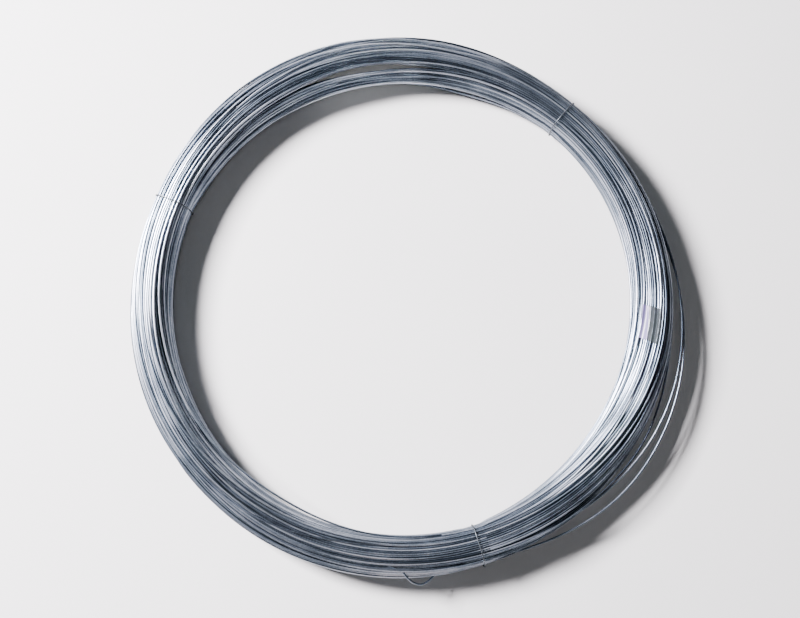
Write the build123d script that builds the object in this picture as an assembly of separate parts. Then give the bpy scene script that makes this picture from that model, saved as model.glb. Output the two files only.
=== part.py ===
"""Coil of galvanized steel wire, tied in three places and lying flat.

Millimetres, +Z up. The origin is on the axis of the eye, in the plane that the coil lies on.
Angles are in degrees round +Z, from +X towards +Y.
"""

from build123d import *

import os
from math import cos, pi, radians, sin, sqrt, tan

# The wire, and the bundle that its turns make
WIRE_DIA = 2.2
EYE_DIA = 508.0
BUNDLE_WIDTH = 44.0
BUNDLE_HEIGHT = 48.4
BUNDLE_CORNER = 16.0
GROOVE_DEPTH = 0.4
CREST_LAND = 0.5

# Loose stretches of the outer turns: the angles where one leaves the bundle, stands off the
# most and is back, how far it stands off there, and how far above mid-height it lies
LOOSE_TURNS = (
    (289.5, 327.5, 378.0, 23.0, 1.6),
    (306.0, 334.0, 362.0, 12.0, 6.2),
)
LOOSE_END_DEPTH = 3.0

# The ties of thinner wire, each closed by a twist that is folded down the outer side
TIE_ANGLES = {"tie_wire_right": 48.9, "tie_wire_left": 156.9, "tie_wire_front": 287.2}
TIE_DIA = 1.2
TIE_RECESS = 0.3
SHOULDER_DROP = 4.8
TWIST_LENGTH = 15.0
TWIST_LAY = 5.0
STRAND_GAP = 0.1
HAIRPIN_RISE = 1.8
NECK_RISE = 3.6
SHOULDER_RISE = 8.0
POINTS_PER_LAY = 6
BEND_SHARE = 0.45

# The strip of tape stuck across the turns on top
TAPE_ANGLE = 353.8
TAPE_LENGTH = 38.0
TAPE_WIDTH = 19.0
TAPE_THICKNESS = 0.25
TAPE_INSET = 9.0

# Room between a piece and what it seats on
SEAT_GAP = 0.3

# Sizes that follow from those above
EYE_RADIUS = EYE_DIA / 2
OUTER_RADIUS = EYE_RADIUS + BUNDLE_WIDTH
BUNDLE_AXIS = EYE_RADIUS + BUNDLE_WIDTH / 2
TIE_INSET = TIE_RECESS + TIE_DIA / 2
TIE_BED = TIE_RECESS + TIE_DIA + SEAT_GAP


def polar(radius, angle, height=0.0):
    """A point by its radius and angle round the eye's axis."""
    return Vector(radius * cos(radians(angle)), radius * sin(radians(angle)), height)


def section_plane(angle=0.0):
    """The upright plane through the bundle: local X points out of the coil, local Y up."""
    return Plane(
        origin=polar(BUNDLE_AXIS, angle, BUNDLE_HEIGHT / 2),
        x_dir=polar(1, angle),
        z_dir=polar(1, angle - 90),
    )


def envelope(offset):
    """The rounded rectangle round the bundle's section, moved out by offset."""
    return RectangleRounded(
        BUNDLE_WIDTH + 2 * offset, BUNDLE_HEIGHT + 2 * offset, BUNDLE_CORNER + offset
    )


def ridge(start, crest, end, out, has_land):
    """The round back of one turn, from groove to groove, with a land on its crest if it has one."""
    if not has_land:
        return [ThreePointArc(start, crest, end)]
    along = (end - start).normalized()
    half_pitch = (end - start).length / 2
    depth = (crest - start).dot(out)
    half_land = CREST_LAND / 2
    centre_depth = (half_pitch**2 + depth**2 - half_land**2) / (2 * depth)
    radius = sqrt(centre_depth**2 + half_land**2)
    centre = crest - out * centre_depth
    land_start = crest - along * half_land
    land_end = crest + along * half_land
    rise, fall = (
        centre + ((foot + shoulder) / 2 - centre).normalized() * radius
        for foot, shoulder in ((start, land_start), (end, land_end))
    )
    return [
        ThreePointArc(start, rise, land_start),
        Line(land_start, land_end),
        ThreePointArc(land_end, fall, end),
    ]


def span_ridges(turns, place, has_land):
    """Ridges side by side along one side or corner; place gives a point and the way out."""
    edges = []
    for i in range(turns):
        (start, out_start), (crest, out), (end, out_end) = (
            place((i + share) / turns) for share in (0, 0.5, 1)
        )
        valleys = start - out_start * GROOVE_DEPTH, end - out_end * GROOVE_DEPTH
        edges += ridge(valleys[0], crest, valleys[1], out, has_land)
    return edges


def ridged_section():
    """The bundle's section: the turns of its skin show as ridges, side by side.

    The grooves are as deep as the turns below leave them. The turns round the eye and those
    underneath have a narrow land, where the take-up block and the floor bear on them.
    """
    edges = []
    for facing, has_land in ((0, False), (90, False), (180, True), (270, True)):
        out = polar(1, facing)
        along = polar(1, facing + 90)
        reach, length = BUNDLE_WIDTH / 2, BUNDLE_HEIGHT - 2 * BUNDLE_CORNER
        if facing % 180 == 90:
            reach, length = BUNDLE_HEIGHT / 2, BUNDLE_WIDTH - 2 * BUNDLE_CORNER
        side_turns = max(1, round(length / WIRE_DIA))
        corner_turns = max(2, round((BUNDLE_CORNER - WIRE_DIA / 2) * pi / 2 / WIRE_DIA))
        corner = out * (reach - BUNDLE_CORNER) + along * length / 2

        def on_side(share):
            return out * reach + along * (share - 0.5) * length, out

        def on_corner(share):
            way = polar(1, facing + 90 * share)
            return corner + way * BUNDLE_CORNER, way

        edges += span_ridges(side_turns, on_side, has_land)
        edges += span_ridges(corner_turns, on_corner, False)
    return make_face(Wire(edges))


def loose_turn(leaves, widest, back, stand_off, rise):
    """One stretch of wire that bows out of the bundle and runs back into it."""
    height = BUNDLE_HEIGHT / 2 + rise
    path = ThreePointArc(
        polar(OUTER_RADIUS - LOOSE_END_DEPTH, leaves, height),
        polar(OUTER_RADIUS + stand_off, widest, height),
        polar(OUTER_RADIUS - LOOSE_END_DEPTH, back, height),
    )
    return sweep(Plane(origin=path @ 0, z_dir=path % 0) * Circle(WIRE_DIA / 2), path)


def wire_coil():
    """All the turns as one turned solid, with the loose stretches that belong to them.

    The section is turned round the eye from tie to tie, and turned down to a neck where each
    tie has its bed.
    """
    bed_angle = (TIE_DIA + 2 * SEAT_GAP) / EYE_RADIUS * 180 / pi
    ties = sorted(TIE_ANGLES.values())
    section, neck = ridged_section(), envelope(-TIE_BED)
    stretches = [loose_turn(*stretch) for stretch in LOOSE_TURNS]
    for tie, next_tie in zip(ties, ties[1:] + [ties[0] + 360]):
        bed_start, bed_end = tie - bed_angle / 2, tie + bed_angle / 2
        stretches.append(revolve(section_plane(bed_start) * neck, Axis.Z, bed_angle))
        full_angle = next_tie - tie - bed_angle
        stretches.append(revolve(section_plane(bed_end) * section, Axis.Z, full_angle))
    return stretches[-1].fuse(*stretches[:-1])


def twist_strand(axis_out, top, orbit, phase):
    """Points of one strand of the twist, from its top down, in the section's plane."""
    steps = round(TWIST_LENGTH / TWIST_LAY * POINTS_PER_LAY)
    turns = [radians(phase + 360 * i / POINTS_PER_LAY) for i in range(steps + 1)]
    return [
        Vector(axis_out + orbit * cos(turn), top - i * TWIST_LAY / POINTS_PER_LAY, orbit * sin(turn))
        for i, turn in enumerate(turns)
    ]


def bend_radius(before, point, after):
    """The largest bend that the two runs at this point leave room for."""
    runs = point - before, after - point
    half_turn = radians(runs[0].get_angle(runs[1])) / 2
    return BEND_SHARE * min(run.length for run in runs) / tan(half_turn)


def tie_wire():
    """One length of tie wire: round the bundle once, then twisted on itself."""
    out = BUNDLE_WIDTH / 2 - TIE_INSET
    up = BUNDLE_HEIGHT / 2 - TIE_INSET
    shoulder = BUNDLE_HEIGHT / 2 - BUNDLE_CORNER - SHOULDER_DROP
    top = shoulder - SHOULDER_RISE
    orbit = (TIE_DIA + STRAND_GAP) / 2 / cos(pi / POINTS_PER_LAY)
    axis_out = BUNDLE_WIDTH / 2 + SEAT_GAP + orbit + TIE_DIA / 2
    corners = [Vector(out, up), Vector(-out, up), Vector(-out, -up), Vector(out, -up)]
    points = [
        *reversed(twist_strand(axis_out, top, orbit, 90)),
        Vector(axis_out, top + NECK_RISE, orbit),
        Vector(out, shoulder),
        *corners,
        Vector(out, top + HAIRPIN_RISE),
        Vector(axis_out, top + HAIRPIN_RISE, -orbit),
        *twist_strand(axis_out, top, orbit, -90),
    ]
    radii = [
        BUNDLE_CORNER - TIE_INSET if point in corners else bend_radius(before, point, after)
        for before, point, after in zip(points, points[1:], points[2:])
    ]
    path = FilletPolyline(*points, radius=radii)
    return sweep(Plane(origin=path @ 0, z_dir=path % 0) * Circle(TIE_DIA / 2), path)


def label_tape():
    """A strip of tape that follows the turns and lies over the inner half of the top."""
    band = envelope(SEAT_GAP + TAPE_THICKNESS) - envelope(SEAT_GAP)
    middle = TAPE_INSET + TAPE_WIDTH / 2 - BUNDLE_WIDTH / 2
    band &= Pos(middle, BUNDLE_HEIGHT / 2) * Rectangle(TAPE_WIDTH, BUNDLE_HEIGHT)
    sweep_angle = TAPE_LENGTH / (BUNDLE_AXIS + middle) * 180 / pi
    start = TAPE_ANGLE - sweep_angle / 2
    return revolve(section_plane(start) * band, Axis.Z, sweep_angle)


def main():
    """Write one STEP file for each piece."""
    os.makedirs("parts", exist_ok=True)
    export_step(wire_coil(), "parts/wire_coil.step")
    tie = tie_wire()
    for name, angle in TIE_ANGLES.items():
        export_step(section_plane(angle) * tie, f"parts/{name}.step")
    export_step(label_tape(), "parts/label_tape.step")


main()
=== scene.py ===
"""Looks of a tied coil of galvanized steel wire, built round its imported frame.

The wire is one continuous length. Its turns are laid in slots at the ties, spread and bunch between
them, and are then pushed apart until no two share the same room. Lengths are in millimetres and
angles in degrees round +Z from +X, up to the point where a mesh is written in metres.
"""

import logging
import math
from dataclasses import dataclass, field
from enum import Enum

import bpy
import numpy as np
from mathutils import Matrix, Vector


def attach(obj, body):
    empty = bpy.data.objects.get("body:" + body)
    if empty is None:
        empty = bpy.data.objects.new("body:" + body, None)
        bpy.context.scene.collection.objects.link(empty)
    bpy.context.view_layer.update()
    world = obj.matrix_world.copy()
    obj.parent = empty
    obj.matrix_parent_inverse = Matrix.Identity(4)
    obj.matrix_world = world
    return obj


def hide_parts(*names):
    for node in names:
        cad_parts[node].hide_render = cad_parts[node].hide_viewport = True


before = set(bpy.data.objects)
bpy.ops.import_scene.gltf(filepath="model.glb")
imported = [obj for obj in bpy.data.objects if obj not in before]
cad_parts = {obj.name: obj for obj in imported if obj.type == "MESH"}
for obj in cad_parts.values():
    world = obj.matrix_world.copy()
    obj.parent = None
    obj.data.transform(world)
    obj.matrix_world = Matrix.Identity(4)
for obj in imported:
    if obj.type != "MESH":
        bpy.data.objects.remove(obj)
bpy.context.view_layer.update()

MM = 0.001
LOG = logging.getLogger("coil")

# Widths of the picture in pixels and of the camera's sensor, which the lens is worked out from
IMAGE_WIDTH_PX = 800
SENSOR_WIDTH = 36.0

Colour = tuple[float, float, float]
Offset = tuple[float, float, float]
Knots = tuple[tuple[float, float], ...]


def smooth_step(share: np.ndarray) -> np.ndarray:
    """Ease a share from 0 to 1 with level ends."""
    share = np.clip(share, 0.0, 1.0)
    return share * share * (3 - 2 * share)


def hump(angle: np.ndarray, start: float, top: float, end: float) -> np.ndarray:
    """Rise from 0 at the start to 1 at the top and fall to 0 at the end.

    Args:
        angle: Angles in degrees.
        start: Where the hump begins.
        top: Where it is highest.
        end: Where it is over.

    Returns:
        The height of the hump at each angle.
    """
    past_start = (angle - start) % 360
    rise = past_start / (top - start)
    fall = (end - start - past_start) / (end - top)
    return np.sin(np.clip(np.minimum(rise, fall), 0, 1) * math.pi / 2) ** 2


def place(radius: np.ndarray, angle: np.ndarray, height: np.ndarray) -> np.ndarray:
    """Points in space from radius, angle in degrees and height."""
    turn = np.radians(angle)
    return np.stack([radius * np.cos(turn), radius * np.sin(turn), height], axis=-1)


class Detail(Enum):
    """How finely a turn is made: its sides, and the stations from one of its points to the next."""

    SKIN = (8, 1)
    UNDER_SKIN = (6, 1)
    CORE = (5, 2)

    @property
    def sides(self) -> int:
        """Sides of the tube."""
        return self.value[0]

    @property
    def stride(self) -> int:
        """Stations from one point of the turn to the next."""
        return self.value[1]


@dataclass(frozen=True)
class Section:
    """The bundle's outline in one upright plane, and how much its top falls away at the sides."""

    angle: float
    inner: float
    outer: float
    height: float
    crown: float = 0.30


@dataclass(frozen=True)
class LooseRun:
    """A stretch of some turns that stands off the bundle, out of the coil or into its eye."""

    leaves: float
    widest: float
    back: float
    stand_off: float
    home_radius: float
    home_height: float
    turns: int = 1
    lift: float = 0.0


@dataclass(frozen=True)
class Crossing:
    """Two turns of the top that change places between two ties, one over the rest and one under."""

    stretch: int
    start: float
    end: float
    from_radius: float
    to_radius: float


@dataclass(frozen=True)
class Slit:
    """The slanted gap that opens through the bundle at the back of the coil."""

    start: float = 79.0
    widest: float = 98.0
    end: float = 120.0
    top_radius: float = 261.7
    bottom_radius: float = 279.4
    half_width: float = 3.2
    least_gap: float = 0.02
    lift: float = 12.0

    @property
    def lean(self) -> float:
        """How much farther out the slit's foot is than its top."""
        return self.bottom_radius - self.top_radius


@dataclass
class WireLay:
    """The path of every turn of the wire, as radius and height at even stations round the coil.

    Station 0 is at the front tie, where one turn ends and the next begins. A turn's shares say where
    it lies in the bundle's outline, across and up, from -1 to 1.
    """

    # The wire, the slots that it is laid in, and the stations
    wire_dia: float = 2.2
    width: float = 40.4
    height: float = 44.8
    corner: float = 14.2
    slot_pitch: float = 2.25
    slot_overhang: float = 0.25
    stations: int = 180
    seed: int = 11

    # The ties, from the front one round to the front one, and the outline at and between them
    ties: tuple[float, ...] = (287.2, 408.9, 516.9, 647.2)
    tie_sections: tuple[Section, ...] = (
        Section(287.2, 256.4, 298.0, 43.6, 0.06),
        Section(48.9, 256.3, 293.6, 47.4, 0.06),
        Section(156.9, 256.7, 295.6, 46.0, 0.06),
    )
    free_sections: tuple[Section, ...] = (
        Section(18.0, 253.5, 298.5, 48.0),
        Section(69.0, 254.0, 298.0, 48.0),
        Section(90.0, 252.0, 305.0, 48.0),
        Section(112.5, 250.8, 306.5, 47.0),
        Section(131.0, 253.5, 303.0, 47.5),
        Section(182.0, 255.4, 296.0, 48.0),
        Section(212.0, 254.8, 296.0, 48.5),
        Section(241.0, 255.2, 298.0, 48.5),
        Section(261.0, 254.0, 297.5, 47.0),
        Section(309.0, 251.5, 297.0, 47.0),
        Section(328.0, 250.3, 299.0, 47.5),
        Section(345.0, 250.0, 302.0, 47.5),
        Section(358.0, 250.0, 302.0, 47.5),
    )
    outline_passes: int = 3
    crown_power: float = 2.2

    # The turns that stand off the bundle, how soon they are off it and how firmly they stay there
    loose_runs: tuple[LooseRun, ...] = (
        LooseRun(288.6, 321.5, 386.0, 22.0, 304.0, 27.0),
        LooseRun(303.0, 333.0, 388.0, 12.6, 304.0, 29.0),
        LooseRun(308.0, 327.0, 345.0, 7.0, 302.0, 30.0, turns=2),
        LooseRun(213.0, 237.0, 268.0, -7.0, 250.0, 43.0),
        LooseRun(60.0, 73.0, 85.0, -4.0, 250.0, 10.0),
        LooseRun(62.0, 70.0, 82.0, -2.5, 250.0, 6.0),
    )
    loose_rise: float = 6.0
    loose_hold: float = 0.6
    radius_weight: float = 2.0

    # The turns that change places, those listed and those drawn at random
    crossings: tuple[Crossing, ...] = (
        Crossing(0, 289.5, 356.7, 259.4, 289.5),
        Crossing(0, 336.5, 400.5, 287.0, 268.0),
        Crossing(2, 182.0, 214.6, 295.0, 276.4),
        Crossing(2, 223.5, 263.0, 266.0, 285.0),
        Crossing(1, 80.0, 136.0, 290.0, 273.0),
        Crossing(1, 65.5, 122.5, 280.0, 295.0),
    )
    turns_per_pair: int = 9
    pair_reach: float = 6.5
    crossing_arch: float = 1.3
    earliest: tuple[float, float] = (0.02, 0.25)
    latest: tuple[float, float] = (0.7, 0.98)

    # How the turns stray between the ties: half waves, and how far alone and with their neighbours
    waves: tuple[tuple[int, float, float], ...] = ((1, 0.4, 1.3), (2, 0.28, 0.9), (3, 0.18, 0.5))
    ripples: int = 3
    ripple_pitch: float = 2.6

    # Where the first turn starts, how far round it stays there, and how far it then goes to its slot
    start_spot: tuple[float, float] = (-1.06, 0.69)
    start_level: float = 20.0
    start_ease: float = 50.0

    # How far the bundle rolls over, and how much lower the turns outside the terrace's edge lie
    roll_knots: Knots = (
        (287.2, 0.0),
        (290.0, 0.0),
        (325.0, -30.0),
        (358.0, -58.0),
        (408.9, -60.0),
        (516.9, -36.0),
        (545.0, -30.0),
        (578.0, -10.0),
        (625.0, 0.0),
        (647.2, 0.0),
    )
    terrace_drop: float = 7.0
    terrace_span: tuple[float, float, float] = (290.0, 320.0, 354.0)
    terrace_ease: float = 4.0
    terrace_edge: Knots = (
        (289.0, 257.0),
        (304.0, 261.0),
        (321.6, 269.0),
        (337.0, 277.3),
        (346.0, 283.0),
        (357.0, 289.5),
        (380.0, 300.0),
    )
    slit: Slit = Slit()

    steps: int = 150
    quick_part: int = 6
    nearest: int = 10
    refresh: int = 12
    slack_hold: float = 0.05
    hold_fade: float = 0.9
    push: float = 0.3
    stiffness: float = 0.35
    stiffness_fade: float = 0.15
    far_reach: int = 3
    far_part: float = 0.6

    # How deep a turn lies at most to be made finely, and how near to the slit
    skin_depth: float = 1.2
    under_skin_depth: float = 5.4
    slit_side: float = 7.0

    def __post_init__(self) -> None:
        """Work out the slots, the stations and the bundle's shape at each station."""
        self.rng = np.random.default_rng(self.seed)
        self.angle = self.ties[0] + np.arange(self.stations) * 360 / self.stations
        self.slots, self.depth = self.find_slots()
        self.turns = len(self.slots)
        self.inner, self.outer, self.top, self.crown = self.outline()
        self.roll = np.radians(np.interp(self.angle, *zip(*self.roll_knots)))
        self.edge = np.interp(self.angle, *zip(*self.terrace_edge))
        self.drop = self.terrace_drop * hump(self.angle, *self.terrace_span)
        opening = hump(self.angle, self.slit.start, self.slit.widest, self.slit.end)
        self.slit_gap = self.slit.half_width * opening
        self.slit_lift = self.slit.lift * opening

    def find_slots(self) -> tuple[np.ndarray, np.ndarray]:
        """Lay slots in upright columns from the eye outwards, up one and down the next.

        Returns:
            The slots as shares of half the outline, across and up, and how deep each lies.
        """
        half_across = (self.width - self.wire_dia) / 2
        half_up = (self.height - self.wire_dia) / 2
        corner = self.corner - self.wire_dia / 2
        column_gap = self.slot_pitch * math.sqrt(3) / 2
        columns = int(2 * half_across / column_gap) + 1
        slots, depths = [], []
        for column in range(columns):
            across = (column - (columns - 1) / 2) * column_gap
            rows = int(2 * half_up / self.slot_pitch) + 1 - column % 2
            heights = (np.arange(rows) - (rows - 1) / 2) * self.slot_pitch
            for up in heights[::-1] if column % 2 == 0 else heights:
                past = np.array([abs(across) - half_across + corner, abs(up) - half_up + corner])
                outside = np.linalg.norm(np.maximum(past, 0)) + min(past.max(), 0) - corner
                if outside <= self.slot_overhang:
                    slots.append((across / half_across, up / half_up))
                    depths.append(-outside)
        return np.array(slots), np.array(depths)

    def outline(self) -> list[np.ndarray]:
        """Inner radius, outer radius, height and crown of the bundle at every station.

        Returns:
            Four arrays, one value for each station.
        """
        knots = sorted(self.tie_sections + self.free_sections, key=lambda s: s.angle)
        at = [knot.angle for knot in knots]
        lines = []
        for values in zip(*((knot.inner, knot.outer, knot.height, knot.crown) for knot in knots)):
            line = np.interp(self.angle % 360, at, values, period=360)
            for _ in range(self.outline_passes):
                line = (np.roll(line, 1) + 2 * line + np.roll(line, -1)) / 4
            lines.append(line)
        return lines

    def slot_at(self, radius: float, height: float, station: int) -> int:
        """The slot nearest to a radius and height at one station."""
        spots = self.spots(self.rolled(self.slots[:, None]))[:, station]
        return int(np.argmin(np.hypot(spots[:, 0] - radius, spots[:, 1] - height)))

    def rolled(self, shares: np.ndarray) -> np.ndarray:
        """Turn shares round the section's middle, so that what is skin stays skin.

        Args:
            shares: Shares for each turn and station.

        Returns:
            The turned shares.
        """
        reach = (shares**4).sum(-1) ** 0.25
        turned = np.arctan2(shares[..., 1], shares[..., 0]) + self.roll
        way = np.stack([np.cos(turned), np.sin(turned)], axis=-1)
        return way * (reach / (way**4).sum(-1) ** 0.25)[..., None]

    def spots(self, shares: np.ndarray) -> np.ndarray:
        """Radius and height from shares of the outline, which may differ by station.

        Args:
            shares: Shares for each turn and station.

        Returns:
            Radius and height for each.
        """
        half_wire = self.wire_dia / 2
        middle = (self.inner + self.outer) / 2
        half_across = (self.outer - self.inner) / 2 - half_wire
        half_up = self.top / 2 - half_wire
        radius = middle + shares[..., 0] * half_across
        rise = (shares[..., 1] + 1) / 2
        round_off = 1 - self.crown * np.abs(shares[..., 0]) ** self.crown_power * rise
        height = half_wire + 2 * rise * half_up * round_off
        height -= self.drop * rise * smooth_step((radius - self.edge) / self.terrace_ease)
        return np.stack([radius, height], axis=-1)

    def station_of(self, angle: float) -> int:
        """The station nearest to an angle."""
        return round((angle - self.ties[0]) % 360 / 360 * self.stations) % self.stations

    def stretch(self, number: int) -> tuple[np.ndarray, np.ndarray]:
        """The stations from one tie to the next, and how far along the stretch each lies.

        Args:
            number: 0 for the stretch that starts at the front tie, and so on.

        Returns:
            The stations, and a share from 0 to 1 for each.
        """
        first, last = self.ties[number], self.ties[number + 1]
        inside = np.flatnonzero((self.angle >= first) & (self.angle < last))
        return inside, (self.angle[inside] - first) / (last - first)

    def pair_up(self) -> list[tuple[int, int, int, float, float]]:
        """Choose the pairs of turns that change places at the right or the left tie.

        Returns:
            For each pair: the tie, both turns, and where in its stretch it crosses.
        """
        pairs = []
        used: dict[int, set[int]] = {1: set(), 2: set()}
        for crossing in self.crossings:
            tie = 1 if crossing.stretch == 0 else 2
            station = self.station_of(crossing.start)
            over = self.slot_at(crossing.from_radius, self.height, station)
            under = self.slot_at(crossing.to_radius, self.height, self.station_of(crossing.end))
            if over in used[tie] or under in used[tie] or over == under:
                continue
            used[tie] |= {over, under}
            pairs.append((tie, over, under, crossing.start, crossing.end))
        spots = self.spots(self.slots[:, None])[:, 0]
        for tie in (1, 2):
            for turn in self.rng.permutation(self.turns)[: self.turns // self.turns_per_pair]:
                gap = np.hypot(*(spots - spots[turn]).T)
                close = np.flatnonzero((gap > 0) & (gap < self.pair_reach))
                near = [k for k in close if k not in used[tie]]
                if turn in used[tie] or not near:
                    continue
                other = int(self.rng.choice(near))
                used[tie] |= {int(turn), other}
                pairs.append((tie, int(turn), other, 0.0, 0.0))
        return pairs

    def targets(self) -> tuple[np.ndarray, np.ndarray]:
        """Where each turn would lie if the others left it room, and how firmly it is held there.

        Returns:
            Radius and height for each turn and station, and the hold for each.
        """
        slot_of = np.tile(np.arange(self.turns), (4, 1))
        slot_of[0] = np.maximum(np.arange(self.turns) - 1, 0)
        passes = {}
        for tie, over, under, start, end in self.pair_up():
            slot_of[tie, over], slot_of[tie, under] = under, over
            for number in (tie - 1, tie):
                passes[number, over] = (1.0, start, end)
                passes[number, under] = (-1.0, start, end)
        goal = np.zeros((self.turns, self.stations, 2))
        for number in range(3):
            inside, share = self.stretch(number)
            first, last = self.ties[number], self.ties[number + 1]
            for turn in range(self.turns):
                side, start, end = passes.get((number, turn), (0.0, 0.0, 0.0))
                leaves = start + 360 * (start < self.ties[0])
                if first <= leaves < last and end > start:
                    start_share = (leaves - first) / (last - first)
                    end_share = start_share + (end - start) / (last - first)
                else:
                    start_share = self.rng.uniform(*self.earliest)
                    end_share = self.rng.uniform(*self.latest)
                ease = smooth_step((share - start_share) / (end_share - start_share))
                here, there = self.slots[slot_of[number : number + 2, turn]]
                goal[turn, inside] = self.change_over(here, there, ease, side)
        start_side = np.array(self.start_spot)
        ease = smooth_step((self.angle - self.ties[0] - self.start_level) / self.start_ease)[:, None]
        goal[0] = start_side + (goal[0] - start_side) * ease
        goal = self.rolled(goal)
        spots = self.spots(goal) + self.wander(goal)
        hold = np.full((self.turns, self.stations), self.slack_hold)
        self.stand_off(spots, hold)
        return spots, hold

    def change_over(
        self, here: np.ndarray, there: np.ndarray, ease: np.ndarray, side: float
    ) -> np.ndarray:
        """Take one turn from its slot at one tie to its slot at the next.

        Args:
            here: The slot's shares at the first tie.
            there: The slot's shares at the next tie.
            ease: How far the turn has gone over, at each station.
            side: 1 to arch over the turn that it changes with, -1 to pass under, 0 for neither.

        Returns:
            The turn's shares at each station.
        """
        way = there - here
        path = here + way * ease[:, None]
        if side:
            across = np.array([-way[1], way[0]]) / max(np.linalg.norm(way), 1e-6)
            across *= side * (1 if across[1] >= 0 else -1)
            reach = self.crossing_arch * self.wire_dia / (self.height / 2)
            path += across * (reach * np.sin(math.pi * ease))[:, None]
        return path

    def wander(self, goal: np.ndarray) -> np.ndarray:
        """How far each turn strays from its slot between the ties, alone and with its neighbours.

        Args:
            goal: The turns' places as shares of the outline.

        Returns:
            Offsets in radius and height, nothing at the ties.
        """
        stray = np.zeros(goal.shape)
        for number in range(3):
            inside, share = self.stretch(number)
            for wave, alone, together in self.waves:
                swing = np.sin(math.pi * wave * share)
                own = self.rng.normal(0, alone, (self.turns, 1, 2))
                stray[:, inside] += own * swing[None, :, None]
                for _ in range(self.ripples):
                    ripple = self.rng.normal(0, self.ripple_pitch, 2)
                    phase = self.rng.uniform(0, 2 * math.pi)
                    amount = self.rng.normal(0, together, 2)
                    wave_here = np.sin(goal[:, inside] @ ripple + phase) * swing
                    stray[:, inside] += wave_here[..., None] * amount
        return stray

    def stand_off(self, spots: np.ndarray, hold: np.ndarray) -> None:
        """Bring each loose run off the bundle, on the turns nearest to its home, in place.

        Args:
            spots: Radius and height for each turn and station.
            hold: How firmly each is held there.
        """
        half_wire = self.wire_dia / 2
        taken: set[int] = set()
        for run in self.loose_runs:
            station = self.station_of(run.widest)
            gap = np.hypot(
                (spots[:, station, 0] - run.home_radius) * self.radius_weight,
                spots[:, station, 1] - run.home_height,
            )
            gap[list(taken)] = np.inf
            level = hump(self.angle, run.leaves, run.widest, run.back)
            face = self.outer - half_wire if run.stand_off > 0 else self.inner + half_wire
            for turn in np.argsort(gap)[: run.turns]:
                taken.add(int(turn))
                shown = np.clip(level * self.loose_rise, 0, 1)
                on_face = face + run.stand_off * level
                spots[turn, :, 0] += (on_face - spots[turn, :, 0]) * shown
                rest = run.home_height + run.lift * level
                spots[turn, :, 1] += (rest - spots[turn, :, 1]) * shown
                hold[turn] = np.maximum(hold[turn], self.loose_hold * shown)

    def neighbours(self, spots: np.ndarray) -> np.ndarray:
        """The nearest turns to each turn at each station.

        Args:
            spots: The turns.

        Returns:
            The numbers of the nearest turns for each turn and station.
        """
        found = np.empty((self.turns, self.stations, self.nearest), dtype=np.int32)
        for station in range(self.stations):
            here = spots[:, station].astype(np.float32)
            gap = ((here[:, None] - here[None]) ** 2).sum(-1)
            np.fill_diagonal(gap, np.inf)
            found[:, station] = np.argpartition(gap, self.nearest, axis=1)[:, : self.nearest]
        return found

    def push_apart(self, spots: np.ndarray, near: np.ndarray) -> None:
        """Move turns that overlap away from each other, in place.

        Args:
            spots: The turns.
            near: The nearest turns to each at each station.
        """
        stations = np.arange(self.stations)[None, :, None]
        apart = spots[:, :, None] - spots[near, stations]
        gap = np.sqrt((apart**2).sum(-1)) + 1e-6
        lap = np.maximum(self.wire_dia - gap, 0) * self.push
        spots += (apart * (lap / gap)[..., None]).sum(2)

    def confine(self, spots: np.ndarray, slit_side: np.ndarray) -> None:
        """Keep turns above the floor, inside the ties and out of the slit, in place.

        Args:
            spots: The turns.
            slit_side: 1 for a turn outside the slit, and -1 for one towards the eye.
        """
        half_wire = self.wire_dia / 2
        lifted = (slit_side < 0)[:, None] * self.slit_lift
        spots[..., 1] = np.maximum(spots[..., 1], half_wire + lifted)
        for section in self.tie_sections:
            station = self.station_of(section.angle)
            for near in (station - 1, station, station + 1):
                self.squeeze(spots, near % self.stations, section)
        slope = np.array([self.slit.lean, -self.height])
        normal = np.array([-slope[1], slope[0]]) / np.linalg.norm(slope)
        base = np.array([self.slit.top_radius, self.height])
        open_at = np.flatnonzero(self.slit_gap > self.slit.least_gap)
        depth = (spots[:, open_at] - base) @ normal * slit_side[:, None]
        short = np.maximum(self.slit_gap[open_at] + half_wire - depth, 0)
        spots[:, open_at] += (short * slit_side[:, None])[..., None] * normal

    def outside_slit(self, spots: np.ndarray) -> np.ndarray:
        """How far each turn lies out from the middle of the slit, where the slit is widest.

        Args:
            spots: The turns.

        Returns:
            One distance for each turn, less than 0 towards the eye.
        """
        here = spots[:, self.station_of(self.slit.widest)]
        middle = self.slit.top_radius + self.slit.lean * (1 - here[:, 1] / self.height)
        return here[:, 0] - middle

    def squeeze(self, spots: np.ndarray, station: int, section: Section) -> None:
        """Press the turns at one station into a tie's rounded outline, in place.

        Args:
            spots: The turns.
            station: The station.
            section: The bundle's outline at the tie.
        """
        half = np.array([(section.outer - section.inner) / 2, section.height / 2]) - self.wire_dia / 2
        middle = np.array([(section.outer + section.inner) / 2, section.height / 2])
        corner = self.corner - self.wire_dia / 2
        off = spots[:, station] - middle
        past = np.abs(off) - (half - corner)
        out = np.maximum(past, 0)
        length = np.linalg.norm(out, axis=1)
        over = np.where(length > 0, length - corner, past.max(1) - corner)
        scale = np.maximum(over, 0) / np.maximum(length, 1e-6)
        spots[:, station] -= np.sign(off) * out * scale[:, None]

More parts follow.
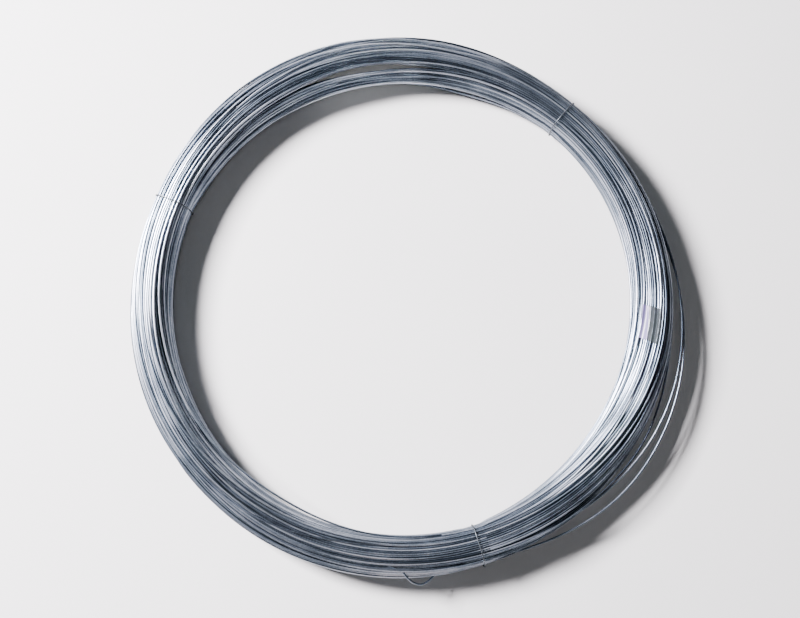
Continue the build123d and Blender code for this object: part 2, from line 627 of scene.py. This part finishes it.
    def settle(self) -> np.ndarray:
        """Lay the turns and push them apart until each has its own room.

        Returns:
            Radius and height for each turn and station.
        """
        goal, hold = self.targets()
        spots = goal.copy()
        slit_side = np.where(self.outside_slit(goal) > 0, 1.0, -1.0)
        above = 1 - goal[..., 1] / self.height
        goal[..., 1] += (slit_side < 0)[:, None] * self.slit_lift * above
        near = self.neighbours(spots)
        steps = self.steps
        for step in range(steps):
            if step % self.refresh == self.refresh - 1:
                near = self.neighbours(spots)
            late = step / steps
            spots += (goal - spots) * hold[..., None] * (1.0 - self.hold_fade * late)
            self.push_apart(spots, near)
            spots = self.stiffen(spots, self.stiffness - self.stiffness_fade * late)
            self.push_apart(spots, near)
            self.confine(spots, slit_side)
        return spots

    def stiffen(self, spots: np.ndarray, share: float) -> np.ndarray:
        """Straighten every turn towards its own neighbouring stations, near and farther off.

        Args:
            spots: The turns.
            share: How far each point goes towards the middle of its neighbours.

        Returns:
            The straightened turns.
        """
        line = spots.reshape(-1, 2)
        for reach, part in ((1, share), (self.far_reach, share * self.far_part)):
            middle = (line[: -2 * reach] + line[2 * reach :]) / 2
            line[reach:-reach] += part * (middle - line[reach:-reach])
        return line.reshape(spots.shape)

    def detail_of(self, spots: np.ndarray) -> list[Detail]:
        """Choose how finely each turn is made, from how deep its slot lies and how near the slit.

        Args:
            spots: The settled turns.

        Returns:
            One detail for each turn.
        """
        beside_slit = np.abs(self.outside_slit(spots)) < self.slit_side
        details = []
        for depth, beside in zip(self.depth, beside_slit):
            if depth < self.skin_depth:
                details.append(Detail.SKIN)
            elif depth < self.under_skin_depth or beside:
                details.append(Detail.UNDER_SKIN)
            else:
                details.append(Detail.CORE)
        return details


def show(name: str, data: bpy.types.ID) -> bpy.types.Object:
    """Put a mesh, a lamp or a camera into the scene as an object of its own.

    Args:
        name: The object's name.
        data: The mesh, lamp or camera.

    Returns:
        The object.
    """
    thing = bpy.data.objects.new(name, data)
    bpy.context.scene.collection.objects.link(thing)
    return thing


def stand(thing: bpy.types.Object, spot: Vector, back: Vector) -> None:
    """Stand a lamp or the camera at a spot and point it.

    Args:
        thing: The lamp or the camera.
        spot: Where it stands, in millimetres.
        back: The way from what it points at back to it.
    """
    thing.location = spot * MM
    thing.rotation_mode = "QUATERNION"
    thing.rotation_quaternion = (-back).to_track_quat("-Z", "Y")


def tube_tree() -> bpy.types.NodeTree:
    """Build the tree that turns lines of points into round capped wire.

    Returns:
        The node tree, with its diameter, sides and material as named inputs.
    """
    tree = bpy.data.node_groups.new("round_wire", "GeometryNodeTree")
    for name, way, kind in (
        ("Geometry", "INPUT", "Geometry"),
        ("Diameter", "INPUT", "Float"),
        ("Sides", "INPUT", "Int"),
        ("Finish", "INPUT", "Material"),
        ("Geometry", "OUTPUT", "Geometry"),
    ):
        tree.interface.new_socket(name, in_out=way, socket_type=f"NodeSocket{kind}")
    add = tree.nodes.new
    start, end = add("NodeGroupInput"), add("NodeGroupOutput")
    lines, ring, tube = (
        add(f"GeometryNode{kind}") for kind in ("MeshToCurve", "CurvePrimitiveCircle", "CurveToMesh")
    )
    half, smooth = add("ShaderNodeMath"), add("GeometryNodeSetShadeSmooth")
    real, finish = add("GeometryNodeRealizeInstances"), add("GeometryNodeSetMaterial")
    half.operation = "MULTIPLY"
    half.inputs[1].default_value = 0.5
    tube.inputs["Fill Caps"].default_value = True
    for source, target in (
        (start.outputs["Geometry"], lines.inputs["Mesh"]),
        (start.outputs["Diameter"], half.inputs[0]),
        (half.outputs[0], ring.inputs["Radius"]),
        (start.outputs["Sides"], ring.inputs["Resolution"]),
        (lines.outputs["Curve"], tube.inputs["Curve"]),
        (ring.outputs["Curve"], tube.inputs["Profile Curve"]),
        (tube.outputs["Mesh"], smooth.inputs["Geometry"]),
        (smooth.outputs["Geometry"], real.inputs["Geometry"]),
        (real.outputs["Geometry"], finish.inputs["Geometry"]),
        (start.outputs["Finish"], finish.inputs["Material"]),
        (finish.outputs["Geometry"], end.inputs["Geometry"]),
    ):
        tree.links.new(source, target)
    return tree


@dataclass
class WireMaker:
    """Makes round wire along lines of points, with Geometry Nodes."""

    tree: bpy.types.NodeTree = field(default_factory=tube_tree)

    def lines_mesh(self, name: str, lines: list[np.ndarray], tones: list[float]) -> bpy.types.Mesh:
        """Write the lines as a mesh of edges that carries the way along and a tone.

        Args:
            name: The mesh's name.
            lines: Points of each line in millimetres.
            tones: A number from 0 to 1 for each line.

        Returns:
            The mesh, in metres.
        """
        points = np.concatenate(lines) * MM
        edges, along, tone, first = [], [], [], 0
        for line, shade in zip(lines, tones):
            count = len(line)
            steps = np.linalg.norm(np.diff(line, axis=0), axis=1) * MM
            along.append(np.concatenate([[0.0], np.cumsum(steps)]))
            tone.append(np.full(count, shade))
            index = np.arange(first, first + count - 1)
            edges.append(np.stack([index, index + 1], axis=1))
            first += count
        mesh = bpy.data.meshes.new(name)
        mesh.from_pydata(points.tolist(), np.concatenate(edges).tolist(), [])
        for attribute, values in (("along", along), ("tone", tone)):
            layer = mesh.attributes.new(attribute, "FLOAT", "POINT")
            layer.data.foreach_set("value", np.concatenate(values).astype(np.float32))
        return mesh

    def make(
        self,
        name: str,
        lines: list[np.ndarray],
        diameter: float,
        sides: int,
        finish: bpy.types.Material,
        tones: list[float] | None = None,
    ) -> bpy.types.Object:
        """Make one piece of wire.

        Args:
            name: The piece's name.
            lines: Points of each line in millimetres.
            diameter: The wire's diameter in millimetres.
            sides: Sides of the tube.
            finish: Its material.
            tones: A number from 0 to 1 for each line.

        Returns:
            The piece as a plain mesh object.
        """
        source = self.lines_mesh(name + "_lines", lines, tones or [0.5] * len(lines))
        holder = show(name + "_holder", source)
        modifier = holder.modifiers.new("wire", "NODES")
        modifier.node_group = self.tree
        values = {"Diameter": diameter * MM, "Sides": sides, "Finish": finish}
        for item in self.tree.interface.items_tree:
            if item.in_out == "INPUT" and item.name in values:
                modifier[item.identifier] = values[item.name]
        graph = bpy.context.evaluated_depsgraph_get()
        mesh = bpy.data.meshes.new_from_object(holder.evaluated_get(graph))
        bpy.data.objects.remove(holder)
        bpy.data.meshes.remove(source)
        mesh.name = name
        LOG.info("%s: %d faces", name, len(mesh.polygons))
        return show(name, mesh)


class Nodes:
    """A short way to write a material's nodes."""

    def __init__(self, name: str) -> None:
        """Start a material with a shader and nothing else."""
        self.material = bpy.data.materials.new(name)
        self.material.use_nodes = True
        self.tree = self.material.node_tree
        self.tree.nodes.clear()
        self.shader = self.tree.nodes.new("ShaderNodeBsdfPrincipled")
        output = self.tree.nodes.new("ShaderNodeOutputMaterial")
        self.link(self.shader.outputs["BSDF"], output.inputs["Surface"])

    def link(self, source: bpy.types.NodeSocket, target: bpy.types.NodeSocket) -> None:
        """Join two sockets."""
        self.tree.links.new(source, target)

    def feed(self, sockets: bpy.types.NodeInputs, values: tuple[object, ...]) -> None:
        """Give each socket its number, or join it to the socket that its number comes from.

        Args:
            sockets: A node's inputs.
            values: A number or a socket for each.
        """
        for socket, value in zip(sockets, values):
            if isinstance(value, bpy.types.NodeSocket):
                self.link(value, socket)
            else:
                socket.default_value = value

    def attribute(self, name: str) -> bpy.types.NodeSocket:
        """A number that the mesh carries."""
        node = self.tree.nodes.new("ShaderNodeAttribute")
        node.attribute_name = name
        return node.outputs["Fac"]

    def math(self, operation: str, first: object, second: object = 0.0) -> bpy.types.NodeSocket:
        """Arithmetic on two numbers or sockets.

        Args:
            operation: The name of the Math node's operation.
            first: A number or a socket.
            second: A number or a socket.

        Returns:
            The result's socket.
        """
        node = self.tree.nodes.new("ShaderNodeMath")
        node.operation = operation
        self.feed(node.inputs, (first, second))
        return node.outputs[0]

    def combine(self, *parts: object) -> bpy.types.NodeSocket:
        """A vector of three numbers or sockets."""
        node = self.tree.nodes.new("ShaderNodeCombineXYZ")
        self.feed(node.inputs, parts)
        return node.outputs[0]

    def object_place(self) -> bpy.types.NodeSocket:
        """The place on the object, in metres."""
        return self.tree.nodes.new("ShaderNodeTexCoord").outputs["Object"]

    def noise(
        self, vector: bpy.types.NodeSocket, scale: float, detail: float = 2.0
    ) -> bpy.types.NodeSocket:
        """A soft random pattern.

        Args:
            vector: The place.
            scale: Its scale.
            detail: How many finer patterns are laid over it.

        Returns:
            A number from 0 to 1.
        """
        node = self.tree.nodes.new("ShaderNodeTexNoise")
        node.inputs["Scale"].default_value = scale
        node.inputs["Detail"].default_value = detail
        self.link(vector, node.inputs["Vector"])
        return node.outputs["Fac"]

    def ramp(
        self, fac: bpy.types.NodeSocket, stops: tuple[tuple[float, Colour], ...]
    ) -> bpy.types.NodeSocket:
        """Colours along a number.

        Args:
            fac: The number from 0 to 1.
            stops: Where each colour stands, and the colour.

        Returns:
            The colour's socket.
        """
        node = self.tree.nodes.new("ShaderNodeValToRGB")
        elements = node.color_ramp.elements
        while len(elements) < len(stops):
            elements.new(0.5)
        for element, (at, colour) in zip(elements, stops):
            element.position = at
            element.color = (*colour, 1.0)
        self.link(fac, node.inputs["Fac"])
        return node.outputs["Color"]

    def shift(self, fac: bpy.types.NodeSocket, low: float, high: float) -> bpy.types.NodeSocket:
        """Map a number from 0..1 to low..high.

        Args:
            fac: The number.
            low: What 0 becomes.
            high: What 1 becomes.

        Returns:
            The new number.
        """
        node = self.tree.nodes.new("ShaderNodeMapRange")
        node.inputs["To Min"].default_value = low
        node.inputs["To Max"].default_value = high
        self.link(fac, node.inputs["Value"])
        return node.outputs["Result"]

    def bump(self, height: bpy.types.NodeSocket, strength: float, distance: float) -> None:
        """Raise the surface a little by a number.

        Args:
            height: The number.
            strength: How much of the rise shows.
            distance: The rise in metres.
        """
        node = self.tree.nodes.new("ShaderNodeBump")
        node.inputs["Strength"].default_value = strength
        node.inputs["Distance"].default_value = distance
        self.link(height, node.inputs["Height"])
        self.link(node.outputs["Normal"], self.shader.inputs["Normal"])


@dataclass(frozen=True)
class ZincFinish:
    """Zinc on drawn wire: bright or dull by the stretch, with small specks."""

    name: str
    dull: Colour = (0.03, 0.04, 0.055)
    middle: Colour = (0.15, 0.182, 0.23)
    bright: Colour = (0.46, 0.50, 0.58)
    stops: tuple[float, float, float] = (0.42, 0.50, 0.59)
    smoothest: float = 0.25
    roughest: float = 0.42

    # Scale of each pattern, per metre, and its share in the mix
    stretch: tuple[float, float] = (2.6, 0.75)
    cloud: tuple[float, float] = (26.0, 0.15)
    speck: tuple[float, float] = (700.0, 0.10)
    tone_spread: float = 37.0
    speck_strength: float = 0.10
    speck_rise: float = 0.00003

    def build(self) -> bpy.types.Material:
        """Make the material.

        Returns:
            A metal whose colour and gloss change along the wire and from turn to turn.
        """
        nodes = Nodes(self.name)
        along, tone = nodes.attribute("along"), nodes.attribute("tone")
        strip = nodes.combine(along, nodes.math("MULTIPLY", tone, self.tone_spread), 0.0)
        stretch = nodes.noise(strip, self.stretch[0], detail=3.0)
        place_on = nodes.object_place()
        speck = nodes.noise(place_on, self.speck[0])
        cloud = nodes.noise(place_on, self.cloud[0], detail=3.0)
        mix = nodes.math(
            "ADD",
            nodes.math("MULTIPLY", stretch, self.stretch[1]),
            nodes.math("MULTIPLY", cloud, self.cloud[1]),
        )
        mix = nodes.math("ADD", mix, nodes.math("MULTIPLY", speck, self.speck[1]))
        colour = nodes.ramp(mix, tuple(zip(self.stops, (self.dull, self.middle, self.bright))))
        nodes.link(colour, nodes.shader.inputs["Base Color"])
        nodes.shader.inputs["Metallic"].default_value = 1.0
        rough = nodes.shift(nodes.math("SUBTRACT", 1.0, mix), self.smoothest, self.roughest)
        nodes.link(rough, nodes.shader.inputs["Roughness"])
        nodes.bump(speck, self.speck_strength, self.speck_rise)
        return nodes.material


@dataclass(frozen=True)
class TapeFinish:
    """Thin translucent tape with a soft satin face whose near-black colour is painted shade, and a
    darker fold along one edge.
    """

    name: str = "label_tape"
    # The flat part's near-black colour is painted shade, as if that part of the tape lay in shadow;
    # the fold keeps the tape's own lavender
    painted_shade_film: Colour = (0.03, 0.038, 0.042)
    fold: Colour = (0.105, 0.093, 0.19)
    cloud_scale: float = 160.0
    cloud_share: float = 0.3
    stops: tuple[float, float] = (0.15, 0.85)
    film_cover: float = 0.62
    fold_cover: float = 0.98
    smoothest: float = 0.25
    roughest: float = 0.45
    crinkle_strength: float = 0.2
    crinkle_rise: float = 0.0004

    def build(self) -> bpy.types.Material:
        """Make the material.

        Returns:
            A see-through sheet whose flat part is painted near-black as shade, denser where it is
            folded.
        """
        nodes = Nodes(self.name)
        cloud = nodes.noise(nodes.object_place(), self.cloud_scale, detail=3.0)
        folded = nodes.attribute("fold")
        level = nodes.math(
            "ADD",
            nodes.math("MULTIPLY", cloud, self.cloud_share),
            nodes.math("MULTIPLY", folded, 1 - self.cloud_share),
        )
        # Painted shade on the flat part of the tape, and the tape's own lavender on the fold
        colour = nodes.ramp(level, tuple(zip(self.stops, (self.painted_shade_film, self.fold))))
        cover = nodes.shift(folded, self.film_cover, self.fold_cover)
        rough = nodes.shift(cloud, self.smoothest, self.roughest)
        nodes.link(colour, nodes.shader.inputs["Base Color"])
        nodes.link(cover, nodes.shader.inputs["Alpha"])
        nodes.link(rough, nodes.shader.inputs["Roughness"])
        nodes.bump(cloud, self.crinkle_strength, self.crinkle_rise)
        return nodes.material


@dataclass(frozen=True)
class FloorFinish:
    """A plain pale floor with the faintest mottle."""

    name: str = "pale_floor"
    light: Colour = (0.52, 0.525, 0.53)
    shade: Colour = (0.50, 0.505, 0.515)
    stops: tuple[float, float] = (0.3, 0.7)
    cloud_scale: float = 3.0
    grain_scale: float = 400.0
    grain_strength: float = 0.05
    grain_rise: float = 0.0005
    roughness: float = 0.9

    def build(self) -> bpy.types.Material:
        """Make the material.

        Returns:
            A matt surface.
        """
        nodes = Nodes(self.name)
        cloud = nodes.noise(nodes.object_place(), self.cloud_scale, detail=3.0)
        colour = nodes.ramp(cloud, tuple(zip(self.stops, (self.shade, self.light))))
        nodes.link(colour, nodes.shader.inputs["Base Color"])
        nodes.shader.inputs["Roughness"].default_value = self.roughness
        grain = nodes.noise(nodes.object_place(), self.grain_scale)
        nodes.bump(grain, self.grain_strength, self.grain_rise)
        return nodes.material


@dataclass
class WireBundle:
    """All the turns of the wire, with its two cut ends."""

    lay: WireLay
    maker: WireMaker
    finish: bpy.types.Material
    most_faces: int = 70000
    first_end_angle: float = 279.5
    first_end_inset: float = 1.2
    lead_inset: float = 0.2
    lead_points: int = 5
    last_end_angle: float = 266.0

    def runs(self, spots: np.ndarray) -> dict[Detail, list[np.ndarray]]:
        """Cut the wire into runs of turns that are made equally finely.

        Args:
            spots: The settled turns.

        Returns:
            Lines of points for each detail.
        """
        lay = self.lay
        details = lay.detail_of(spots)
        line = spots.reshape(-1, 2)
        angle = np.tile(lay.angle, lay.turns)
        angle += np.repeat(np.arange(lay.turns), lay.stations) * 360.0
        last = len(line) - 1 - lay.station_of(lay.ties[0] - self.last_end_angle)
        found: dict[Detail, list[np.ndarray]] = {detail: [] for detail in Detail}
        turn = 0
        while turn < lay.turns:
            detail, end = details[turn], turn
            while end + 1 < lay.turns and details[end + 1] is detail:
                end += 1
            first_point = turn * lay.stations
            last_point = min((end + 1) * lay.stations + detail.stride, last)
            pick = np.arange(first_point, last_point + 1, detail.stride)
            found[detail].append(place(line[pick, 0], angle[pick], line[pick, 1]))
            turn = end + 1
        lead = np.linspace(self.first_end_angle, lay.ties[0], self.lead_points)[:-1]
        inset = np.linspace(self.first_end_inset, self.lead_inset, self.lead_points)[:-1]
        height = np.full(len(lead), spots[0, 0, 1])
        first_run = found[details[0]]
        first_run[0] = np.concatenate([place(spots[0, 0, 0] - inset, lead, height), first_run[0]])
        return found

    def batches(self, lines: list[np.ndarray], sides: int) -> list[list[np.ndarray]]:
        """Share the runs out so that no piece has too many faces.

        Args:
            lines: Points of each run.
            sides: Sides of the tube that each becomes.

        Returns:
            The runs of each piece.
        """
        batches: list[list[np.ndarray]] = []
        faces = self.most_faces
        for line in lines:
            if faces + len(line) * sides > self.most_faces:
                batches.append([])
                faces = 0
            batches[-1].append(line)
            faces += len(line) * sides
        return batches

    def build(self, spots: np.ndarray) -> list[bpy.types.Object]:
        """Make the turns as pieces of wire, shared out so that no piece has too many faces.

        Args:
            spots: The settled turns.

        Returns:
            The pieces.
        """
        pieces = []
        rng = np.random.default_rng(self.lay.seed + 1)
        for detail, lines in self.runs(spots).items():
            for batch in self.batches(lines, detail.sides):
                name = f"wire_{detail.name.lower()}_{len(pieces) + 1:02d}"
                tones = rng.uniform(0, 1, len(batch)).tolist()
                pieces.append(
                    self.maker.make(name, batch, self.lay.wire_dia, detail.sides, self.finish, tones)
                )
        return pieces

    def dress(self, pieces: list[bpy.types.Object]) -> None:
        """Tie the pieces to the frame.

        Args:
            pieces: The turns and the hooked end.
        """
        for piece in pieces:
            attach(piece, "root")
            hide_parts("wire_coil")


@dataclass
class HookedEnd:
    """The last end of the wire, which springs out over the outer edge in a short hook."""

    maker: WireMaker
    finish: bpy.types.Material
    dia: float = 2.2
    sides: int = 10
    points_per_run: int = 6

    # Angle, radius and height of the points that the hook runs through
    route: tuple[tuple[float, float, float], ...] = (
        (263.0, 284.0, 34.0),
        (266.6, 285.6, 38.5),
        (269.9, 290.9, 38.0),
        (271.1, 298.0, 36.0),
        (272.3, 303.5, 33.0),
        (273.8, 306.0, 30.0),
        (275.1, 304.1, 27.0),
        (276.2, 300.2, 24.0),
        (277.4, 295.5, 21.0),
    )

    def build(self) -> bpy.types.Object:
        """Make the hook along a smooth line through its route.

        Returns:
            The hooked stretch of wire.
        """
        route = np.array(self.route)
        padded = np.vstack([2 * route[0] - route[1], route, 2 * route[-1] - route[-2]])
        line = []
        for before, first, second, after in zip(padded, padded[1:], padded[2:], padded[3:]):
            for share in np.arange(self.points_per_run) / self.points_per_run:
                bend = 2 * first + (second - before) * share
                bend += (2 * before - 5 * first + 4 * second - after) * share**2
                bend += (3 * first - before - 3 * second + after) * share**3
                line.append(bend / 2)
        line = np.array(line + [route[-1]])
        path = place(line[:, 1], line[:, 0], line[:, 2])
        return self.maker.make("wire_hooked_end", [path], self.dia, self.sides, self.finish)


@dataclass
class TieWire:
    """One thin wire round the bundle, twisted on itself down the outer side."""

    name: str
    section: Section
    maker: WireMaker
    finish: bpy.types.Material
    dia: float = 1.2
    sides: int = 10
    corner: float = 15.1
    corner_points: int = 10
    twist_length: float = 15.0
    twist_lay: float = 5.0
    shoulder_drop: float = 4.8
    shoulder_rise: float = 8.0
    strand_gap: float = 0.1
    slack: float = 0.45
    seat_gap: float = 0.3
    points_per_lay: int = 18

    # From the twist into the ring and back: out, up from the twist's top, and along the turns
    leave_twist: tuple[Offset, Offset] = ((-0.4, 3.0, 0.585), (0.5, 6.0, 0.4))
    leave_ring: tuple[Offset, Offset] = ((0.0, -1.0, -0.3), (0.6, 1.2, -0.6))

    def path(self) -> np.ndarray:
        """Points of the tie wire in its section: out of the coil, up, and along the turns.

        Returns:
            Points of one open line in millimetres.
        """
        half_out = (self.section.outer - self.section.inner) / 2 + self.dia / 2 + self.slack
        half_up = self.section.height / 2 + self.dia / 2 + self.slack
        orbit = (self.dia + self.strand_gap) / 2
        axis_out = half_out + self.dia / 2 + self.seat_gap + orbit + self.dia / 2
        shoulder = half_up - self.corner - self.shoulder_drop
        top = shoulder - self.shoulder_rise
        steps = round(self.twist_length / self.twist_lay * self.points_per_lay)
        drop = np.arange(steps + 1) * self.twist_lay / self.points_per_lay
        turn = 2 * math.pi * np.arange(steps + 1) / self.points_per_lay

        def strand(phase: float) -> np.ndarray:
            """Points of one strand from the top down."""
            across, beside = orbit * np.cos(turn + phase), orbit * np.sin(turn + phase)
            return np.stack([axis_out + across, top - drop, beside], axis=1)

        ring = []
        for centre_out, centre_up, start in ((1, 1, 0), (-1, 1, 90), (-1, -1, 180), (1, -1, 270)):
            bend = np.radians(np.linspace(start, start + 90, self.corner_points))
            middle = np.array([half_out - self.corner, half_up - self.corner])
            middle *= (centre_out, centre_up)
            arc = middle + self.corner * np.stack([np.cos(bend), np.sin(bend)], axis=1)
            ring.append(np.column_stack([arc, np.zeros(len(arc))]))
        lead_in = np.array([[axis_out, top, 0.0], [half_out, top, 0.0]]) + self.leave_twist
        lead_out = np.array([half_out, top, 0.0]) + self.leave_ring
        return np.concatenate(
            [strand(math.pi / 2)[::-1], lead_in, *ring, lead_out, strand(-math.pi / 2)[1:]]
        )

    def build(self) -> bpy.types.Object:
        """Make the tie and put it round the bundle.

        Returns:
            The tie.
        """
        path = self.path()
        radius = (self.section.outer + self.section.inner) / 2 + path[:, 0]
        height = np.maximum(self.section.height / 2 + path[:, 1], self.dia / 2)
        turn = math.radians(self.section.angle)
        out = np.array([math.cos(turn), math.sin(turn)])
        side = np.array([-math.sin(turn), math.cos(turn)])
        level = radius[:, None] * out + path[:, 2:3] * side
        line = np.column_stack([level, height])
        return self.maker.make(self.name, [line], self.dia, self.sides, self.finish)

    def dress(self, piece: bpy.types.Object) -> None:
        """Tie the piece to the frame.

        Args:
            piece: The tie.
        """
        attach(piece, "root")
        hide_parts(self.name.removesuffix("_round"))


@dataclass
class LabelTape:
    """A short strip of tape that drapes over the turns on top."""

    lay: WireLay
    angle: float = 353.8
    length: float = 38.0
    inner: float = 261.0
    width: float = 20.0
    skew: float = 1.2
    thickness: float = 0.2
    rows: int = 60
    columns: int = 40
    fold_width: float = 7.5
    fold_rise: float = 0.5
    clearance: float = 0.12
    drape_passes: int = 30

    def drape(self, spots: np.ndarray, radius: np.ndarray, angle: np.ndarray) -> np.ndarray:
        """Find how high the tape lies where it hangs over the turns without dipping between them.

        Args:
            spots: The settled turns.
            radius: The radius of each column of the grid.
            angle: The angle of each point of the grid.

        Returns:
            The height of each point of the grid.
        """
        height = np.zeros(angle.shape)
        station = (angle - self.lay.ties[0]) % 360 / 360 * self.lay.stations
        half_wire = self.lay.wire_dia / 2
        for row, column in np.ndindex(height.shape):
            low, share = divmod(station[row, column], 1)
            low = int(low)
            here = spots[:, low] * (1 - share) + spots[:, (low + 1) % self.lay.stations] * share
            off = np.abs(radius[column] - here[:, 0])
            top = here[:, 1] + np.sqrt(np.maximum(half_wire**2 - off**2, 0))
            height[row, column] = np.where(off < half_wire, top, 0).max()
        for _ in range(self.drape_passes):
            padded = np.pad(height, 1, mode="edge")
            across = padded[:-2, 1:-1] + padded[2:, 1:-1]
            height = np.maximum(height, (across + padded[1:-1, :-2] + padded[1:-1, 2:]) / 4)
        return height

    def build(self, spots: np.ndarray, finish: bpy.types.Material) -> bpy.types.Object:
        """Drape a grid over the turns below and give it its thickness.

        Args:
            spots: The settled turns.
            finish: The tape's material.

        Returns:
            The tape.
        """
        radius = self.inner + np.linspace(0, self.width, self.columns)
        sweep = math.degrees(self.length / (self.inner + self.width / 2))
        along = np.linspace(-0.5, 0.5, self.rows) * sweep
        slant = (0.5 - np.linspace(0, 1, self.columns)) * self.skew
        grid_angle = self.angle + along[:, None] + slant[None, :]
        grid_radius = np.broadcast_to(radius, grid_angle.shape)
        folded = radius - self.inner < self.fold_width
        height = self.drape(spots, radius, grid_angle) + (self.clearance + self.fold_rise * folded)
        points = place(grid_radius, grid_angle, height).reshape(-1, 3) * MM
        index = np.arange(self.rows * self.columns).reshape(self.rows, self.columns)
        quads = np.stack([index[:-1, :-1], index[:-1, 1:], index[1:, 1:], index[1:, :-1]], axis=-1)
        mesh = bpy.data.meshes.new("label_tape_film")
        mesh.from_pydata(points.tolist(), [], quads.reshape(-1, 4)[:, ::-1].tolist())
        fold = np.tile(folded, self.rows).astype(np.float32)
        mesh.attributes.new("fold", "FLOAT", "POINT").data.foreach_set("value", fold)
        mesh.materials.append(finish)
        mesh.shade_smooth()
        tape = show("label_tape_film", mesh)
        solid = tape.modifiers.new("thickness", "SOLIDIFY")
        solid.thickness = self.thickness * MM
        solid.offset = 1.0
        LOG.info("label_tape_film: %d faces", len(mesh.polygons))
        return tape

    def dress(self, tape: bpy.types.Object) -> None:
        """Tie the tape to the frame.

        Args:
            tape: The tape.
        """
        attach(tape, "root")
        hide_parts("label_tape")


@dataclass(frozen=True)
class Lamp:
    """One soft lamp: where it hangs from the coil, its power in watts and its colour."""

    name: str
    azimuth: float
    elevation: float
    power: float
    colour: Colour


@dataclass
class Studio:
    """The floor, the lights and the camera."""

    floor_half: float = 6000.0
    distance: float = 1250.0
    elevation: float = 81.3
    aim: tuple[float, float] = (-1.8, -6.3)
    image_scale_px: float = 1112.0
    lamp_distance: float = 2600.0
    lamp_size: float = 700.0
    lamps: tuple[Lamp, ...] = (
        Lamp("key", 155.0, 38.0, 800.0, (1.0, 0.95, 0.97)),
        Lamp("bounce", 268.0, 10.0, 8.0, (1.0, 0.72, 0.58)),
        Lamp("overhead", 270.0, 80.0, 6.0, (1.0, 1.0, 1.0)),
    )

    # The narrow lamp that lights the floor below the slit, and the height that it is aimed at
    beam_power: float = 60.0
    beam_width: float = 4.4
    beam_radius: float = 30.0
    beam_aim: float = 22.0

    sky_colour: Colour = (0.80, 0.88, 1.0)
    sky_strength: float = 0.11

    def add_floor(self) -> None:
        """Lay a wide floor under the coil."""
        half = self.floor_half * MM
        mesh = bpy.data.meshes.new("floor")
        corners = [(-half, -half, 0), (half, -half, 0), (half, half, 0), (-half, half, 0)]
        mesh.from_pydata(corners, [], [(0, 1, 2, 3)])
        mesh.materials.append(FloorFinish().build())
        floor = show("floor", mesh)

    def viewpoint(self) -> tuple[Vector, Vector]:
        """Where the camera stands, and the way from what it looks at back to it.

        Returns:
            Both, the first in millimetres.
        """
        tilt = math.radians(self.elevation)
        back = Vector((0.0, -math.cos(tilt), math.sin(tilt)))
        return Vector((*self.aim, 0.0)) + back * self.distance, back

    def add_camera(self) -> None:
        """Look down on the coil as the photograph does."""
        data = bpy.data.cameras.new("camera")
        data.sensor_width = SENSOR_WIDTH
        data.lens = self.image_scale_px / IMAGE_WIDTH_PX * SENSOR_WIDTH
        camera = show("camera", data)
        stand(camera, *self.viewpoint())
        bpy.context.scene.camera = camera

    def add_lamp(self, lamp: Lamp) -> None:
        """Hang one soft lamp that points at the coil.

        Args:
            lamp: The lamp.
        """
        turn, tilt = math.radians(lamp.azimuth), math.radians(lamp.elevation)
        level = math.cos(tilt)
        back = Vector((math.cos(turn) * level, math.sin(turn) * level, math.sin(tilt)))
        data = bpy.data.lights.new(lamp.name, "AREA")
        data.energy, data.size, data.color = lamp.power, self.lamp_size * MM, lamp.colour
        stand(show(lamp.name, data), back * self.lamp_distance, back)

    def add_slit_beam(self) -> None:
        """Light the floor below the slit, along the line from the camera through it."""
        slit = Slit()
        turn = math.radians(slit.widest)
        radius = (slit.top_radius + slit.bottom_radius) / 2
        middle = Vector((radius * math.cos(turn), radius * math.sin(turn), self.beam_aim))
        back = (self.viewpoint()[0] - middle).normalized()
        data = bpy.data.lights.new("slit_beam", "SPOT")
        data.energy, data.shadow_soft_size = self.beam_power, self.beam_radius * MM
        data.spot_size, data.spot_blend = math.radians(self.beam_width), 1.0
        stand(show("slit_beam", data), middle + back * self.lamp_distance, back)

    def build(self) -> None:
        """Set up the whole studio."""
        self.add_floor()
        self.add_camera()
        for lamp in self.lamps:
            self.add_lamp(lamp)
        self.add_slit_beam()
        world = bpy.data.worlds.new("pale_sky")
        world.use_nodes = True
        sky = world.node_tree.nodes["Background"]
        sky.inputs["Color"].default_value = (*self.sky_colour, 1.0)
        sky.inputs["Strength"].default_value = self.sky_strength
        bpy.context.scene.world = world
        LOG.info("studio ready")


def main() -> None:
    """Build the coil, its ties and its tape, and set up the studio."""
    logging.basicConfig(level=logging.INFO, format="%(name)s %(message)s")
    Studio().build()
    zinc = ZincFinish("galvanized_wire").build()
    tie_zinc = ZincFinish(
        "tie_wire",
        dull=(0.03, 0.035, 0.04),
        middle=(0.07, 0.08, 0.09),
        bright=(0.15, 0.165, 0.185),
        smoothest=0.35,
        roughest=0.6,
    ).build()
    lay = WireLay()
    LOG.info("%d turns", lay.turns)
    spots = lay.settle()
    maker = WireMaker()
    bundle = WireBundle(lay, maker, zinc)
    bundle.dress([*bundle.build(spots), HookedEnd(maker, zinc).build()])
    for name, section in zip(("tie_wire_front", "tie_wire_right", "tie_wire_left"), lay.tie_sections):
        tie = TieWire(name + "_round", section, maker, tie_zinc)
        tie.dress(tie.build())
    tape = LabelTape(lay)
    tape.dress(tape.build(spots, TapeFinish().build()))


if __name__ == "__main__":
    main()
